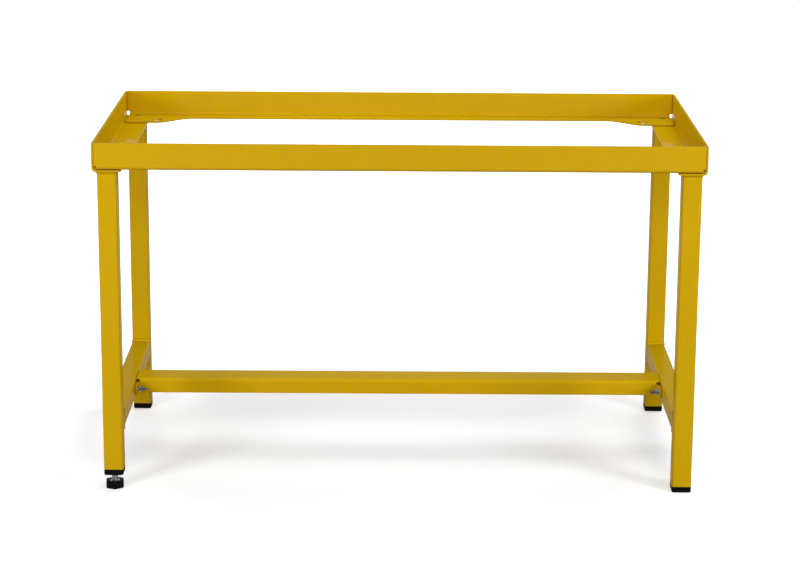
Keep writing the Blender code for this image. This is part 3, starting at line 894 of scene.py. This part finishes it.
def build_rim(coat, zinc):
    """Long rails, end rails and the corner screws."""
    end_mesh = crisp(end_rail(), CRISP_SHEET)
    screw = crisp(corner_screw(), CRISP_STAMPED)
    low = box("front_rail")[0]
    for face, side, turn, seam in (("front", -1, 0, FRONT_SEAM), ("rear", 1, math.pi, REAR_SEAM)):
        node = face + "_rail"
        rail = crisp(long_rail(seam), CRISP_SHEET)
        piece(node + "_sheet", rail, coat, "stand", [node], (0, side * -low.y, low.z), (0, 0, turn))
        for end, hand in (("left", -1), ("right", 1)):
            node = f"corner_screw_{face}_{end}"
            at = (hand * LEG_X, side * SCREW_Y, box(node)[1].z)
            spin = hand * SCREW_SPIN_END + side * SCREW_SPIN_SIDE
            piece(node + "_socket", screw, zinc, "stand", [node], at, (0, 0, spin))
    for end, hand in (("left", -1), ("right", 1)):
        node = end + "_end_rail"
        low, high = box(node)
        outer = high.x if hand > 0 else low.x
        piece(node + "_sheet", end_mesh, coat, "stand", [node], (outer, 0, low.z), (0, 0, hand * QUARTER))


def build_legs(coat):
    """Legs, cross tubes and the welds at their ends."""
    leg_bead = bead("leg_bead", False)
    cross_bead = bead("cross_bead", True)
    for end, hand in (("left", -1), ("right", 1)):
        for face, side in (("front", -1), ("rear", 1)):
            node = f"{face}_{end}_leg"
            low, high = box(node)
            at = (hand * LEG_X, side * LEG_Y, 0)
            mesh = crisp(tube(node, low.z, high.z), CRISP_SHEET)
            piece(node + "_tube", mesh, coat, "stand", [node], at)
            piece(node + "_weld", leg_bead, coat, "stand", (), (at[0], at[1], high.z))
        node = end + "_cross_tube"
        low, high = box(node)
        middle = CROSS_TOP - TUBE / 2
        mesh = crisp(tube(node, low.y, high.y), CRISP_SHEET)
        piece(node + "_tube", mesh, coat, "stand", [node], (hand * LEG_X, 0, middle), (-QUARTER, 0, 0))
        for face, side in (("front", -1), ("rear", 1)):
            name = f"{end}_cross_weld_{face}"
            at = (hand * LEG_X, side * high.y, middle)
            piece(name, cross_bead, coat, "stand", (), at, (-side * QUARTER, 0, 0))


def build_stretcher(coat, zinc):
    """The stretcher and the bolts, washers and nuts that hold it to the cross tubes."""
    piece("stretcher_sheet", crisp(stretcher(), CRISP_SHEET), coat, "stand", ["stretcher"])
    low, high = box("stretcher_bolt_front_left")
    bolt_mesh = crisp(bolt(high.x - low.x - BOLT_HEAD), CRISP_HEX)
    nut_mesh = crisp(nut(), CRISP_HEX)
    washer_mesh = crisp(washer(), CRISP_STAMPED)
    stack = (
        ("stretcher_bolt", bolt_mesh, BOLT_HEAD),
        ("head_washer", washer_mesh, 0),
        ("nut_washer", washer_mesh, 0),
        ("stretcher_nut", nut_mesh, 0),
    )
    for end, hand in (("left", -1), ("right", 1)):
        for face, side in (("front", -1), ("rear", 1)):
            for kind, mesh, past in stack:
                node = f"{kind}_{face}_{end}"
                low, high = box(node)
                outer = low.x + past if hand < 0 else high.x - past
                at = (outer, side * BOLT_Y, BOLT_Z)
                piece(node + "_part", mesh, zinc, "stand", [node], at, (0, -hand * QUARTER, 0))


def build_feet(plastic, zinc):
    """Leg caps and the levelling foot."""
    cap = crisp(leg_cap(), CRISP_FOOT)
    capped = (("front", -1, "right", 1), ("rear", 1, "left", -1), ("rear", 1, "right", 1))
    for face, side, end, hand in capped:
        node = f"leg_cap_{face}_{end}"
        piece(node + "_moulding", cap, plastic, "stand", [node], (hand * LEG_X, side * LEG_Y, 0))
    foot = (-LEG_X, -LEG_Y)
    cap = crisp(levelling_cap(), CRISP_FOOT)
    piece("levelling_cap_moulding", cap, plastic, "stand", ["levelling_cap"], (*foot, FOOT_RISE))
    dish = crisp(foot_washer(), CRISP_FOOT)
    piece("foot_washer_dish", dish, zinc, "foot_carrier", ["foot_washer"], (*foot, 0))
    turned = (0, 0, PAD_TURN)
    thread = crisp(stud(), CRISP_FOOT)
    piece("levelling_stud_thread", thread, zinc, "levelling_foot", ["levelling_stud"], (*foot, 0), turned)
    pad = crisp(foot_pad(), CRISP_FOOT)
    piece("foot_pad_moulding", pad, plastic, "levelling_foot", ["foot_pad"], (*foot, 0), turned)


def finish_hidden_nodes(zinc):
    """The nuts under the end rails and the threaded insert keep their solids, with the zinc finish."""
    for node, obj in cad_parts.items():
        if node.startswith("weld_nut") or node == "threaded_insert":
            obj.data.materials.clear()
            obj.data.materials.append(zinc)


# Studio


def build_camera():
    """The photograph's camera."""
    forward = Vector((
        math.sin(CAMERA_YAW) * math.cos(CAMERA_PITCH),
        math.cos(CAMERA_YAW) * math.cos(CAMERA_PITCH),
        -math.sin(CAMERA_PITCH),
    ))
    level = Vector((math.cos(CAMERA_YAW), -math.sin(CAMERA_YAW), 0))
    right = level * math.cos(CAMERA_ROLL) + level.cross(forward) * math.sin(CAMERA_ROLL)
    up = right.cross(forward)
    data = bpy.data.cameras.new("camera")
    data.lens = CAMERA_LENS
    data.sensor_width = CAMERA_SENSOR
    camera = bpy.data.objects.new("camera", data)
    bpy.context.scene.collection.objects.link(camera)
    camera.matrix_world = Matrix.Translation(CAMERA_AT) @ Matrix((right, up, -forward)).transposed().to_4x4()
    bpy.context.scene.camera = camera


def background_rays(tree):
    """1 for rays that show the background: from the camera, a reflection or through glass."""
    path = tree.nodes.new("ShaderNodeLightPath")
    either = tree.nodes.new("ShaderNodeMath")
    either.operation = "MAXIMUM"
    tree.links.new(path.outputs["Is Camera Ray"], either.inputs[0])
    tree.links.new(path.outputs["Is Glossy Ray"], either.inputs[1])
    every = tree.nodes.new("ShaderNodeMath")
    every.operation = "MAXIMUM"
    tree.links.new(either.outputs[0], every.inputs[0])
    tree.links.new(path.outputs["Is Transmission Ray"], every.inputs[1])
    return every.outputs[0]


def build_world():
    """A surround that looks white and leaves the lighting to the lamps and the floor."""
    world = bpy.data.worlds.new("studio")
    world.use_nodes = True
    tree = world.node_tree
    background = tree.nodes["Background"]
    background.inputs["Color"].default_value = (1, 1, 1, 1)
    tree.links.new(background_rays(tree), background.inputs["Strength"])
    bpy.context.scene.world = world


def build_floor():
    """A floor that looks white, takes shadows, fades into the surround and throws warm light back."""
    made = bpy.data.materials.new("studio_floor")
    made.use_nodes = True
    tree = made.node_tree
    shader = tree.nodes["Principled BSDF"]
    shader.inputs["Roughness"].default_value = 1.0
    shader.inputs["Specular IOR Level"].default_value = 0.0
    shown = background_rays(tree)
    shade = tree.nodes.new("ShaderNodeValToRGB")
    shade.color_ramp.elements[0].color = (*FLOOR_BOUNCE, 1)
    shade.color_ramp.elements[1].color = (*grey(FLOOR_SEEN), 1)
    tree.links.new(shown, shade.inputs["Fac"])
    tree.links.new(shade.outputs["Color"], shader.inputs["Base Color"])
    place = tree.nodes.new("ShaderNodeTexCoord")
    far = tree.nodes.new("ShaderNodeVectorMath")
    far.operation = "LENGTH"
    tree.links.new(place.outputs["Object"], far.inputs[0])
    fade = tree.nodes.new("ShaderNodeMapRange")
    fade.inputs["From Min"].default_value = GLOW_NEAR
    fade.inputs["From Max"].default_value = GLOW_FAR
    fade.inputs["To Min"].default_value = FLOOR_GLOW
    fade.inputs["To Max"].default_value = 1.0
    tree.links.new(far.outputs["Value"], fade.inputs["Value"])
    strength = tree.nodes.new("ShaderNodeMath")
    strength.operation = "MULTIPLY"
    tree.links.new(shown, strength.inputs[0])
    tree.links.new(fade.outputs["Result"], strength.inputs[1])
    shader.inputs["Emission Color"].default_value = (1, 1, 1, 1)
    tree.links.new(strength.outputs[0], shader.inputs["Emission Strength"])
    bm = bmesh.new()
    bmesh.ops.create_grid(bm, x_segments=1, y_segments=1, size=FLOOR_HALF)
    mesh = bpy.data.meshes.new("studio_floor")
    bm.to_mesh(mesh)
    bm.free()
    mesh.materials.append(made)
    floor = bpy.data.objects.new("studio_floor", mesh)
    bpy.context.scene.collection.objects.link(floor)


def softbox(name, at, aim, size, power, mirrored=True):
    """A soft lamp that faces a point. The camera doesn't see it, and glossy surfaces may show it."""
    data = bpy.data.lights.new(name, "AREA")
    data.shape = "RECTANGLE"
    data.size, data.size_y = size
    data.energy = power
    lamp = bpy.data.objects.new(name, data)
    bpy.context.scene.collection.objects.link(lamp)
    lamp.location = at
    lamp.rotation_euler = (Vector(aim) - Vector(at)).to_track_quat("-Z", "Y").to_euler()
    lamp.visible_camera = False
    lamp.visible_glossy = mirrored


def build_studio():
    """Camera, white surround, floor and softboxes."""
    build_camera()
    build_world()
    build_floor()
    softbox("front_high", at=(0, -4.0, 2.6), aim=(0, 0, 0.3), size=(3.0, 1.5), power=29)
    softbox("front_far", at=(0, -6.5, 2.4), aim=(0, 0, 0.3), size=(4.0, 1.2), power=124)
    softbox("left_front", at=(-1.41, -1.56, 0.75), aim=(-0.3, 0, 0.1), size=(0.55, 0.55), power=17)
    softbox("right_front", at=(1.68, -1.32, 0.75), aim=(0.3, 0, 0.1), size=(0.55, 0.55), power=17)
    softbox("right_high", at=(0.7, -0.4, 1.7), aim=(-0.3, 0, 0.4), size=(0.6, 0.6), power=2.6)
    softbox("left_back", at=(-0.6, 0.7, 1.3), aim=(0.35, 0, 0.4), size=(0.6, 0.6), power=2.4)
    softbox("right_back", at=(0.6, 0.7, 1.3), aim=(-0.35, 0, 0.4), size=(0.6, 0.6), power=5.0)
    softbox("rear_fill", at=(0, 4.0, 1.5), aim=(0, 0, 0.25), size=(4.0, 1.2), power=48, mirrored=False)
    softbox("left_close", at=(-0.3, 0.14, 1.05), aim=(0.46, 0, 0.5), size=(0.4, 0.4), power=2.0)
    softbox("right_close", at=(0.3, 0.14, 1.05), aim=(-0.46, 0, 0.5), size=(0.4, 0.4), power=0.5)
    bpy.context.scene.view_settings.view_transform = "Standard"


def main():
    """Dresses the stand and lights it."""
    rim_coat = powder_coat("rim_coat", RIM_GLOSS)
    frame_coat = powder_coat("frame_coat", FRAME_GLOSS)
    plastic = moulded_plastic()
    fastener_zinc = zinc_plate("fastener_zinc", FASTENER_DULL, FASTENER_BRIGHT)
    foot_zinc = zinc_plate("foot_zinc", FOOT_DULL, FOOT_BRIGHT)
    build_rim(rim_coat, fastener_zinc)
    build_legs(frame_coat)
    build_stretcher(frame_coat, fastener_zinc)
    build_feet(plastic, foot_zinc)
    finish_hidden_nodes(fastener_zinc)
    build_studio()


main()
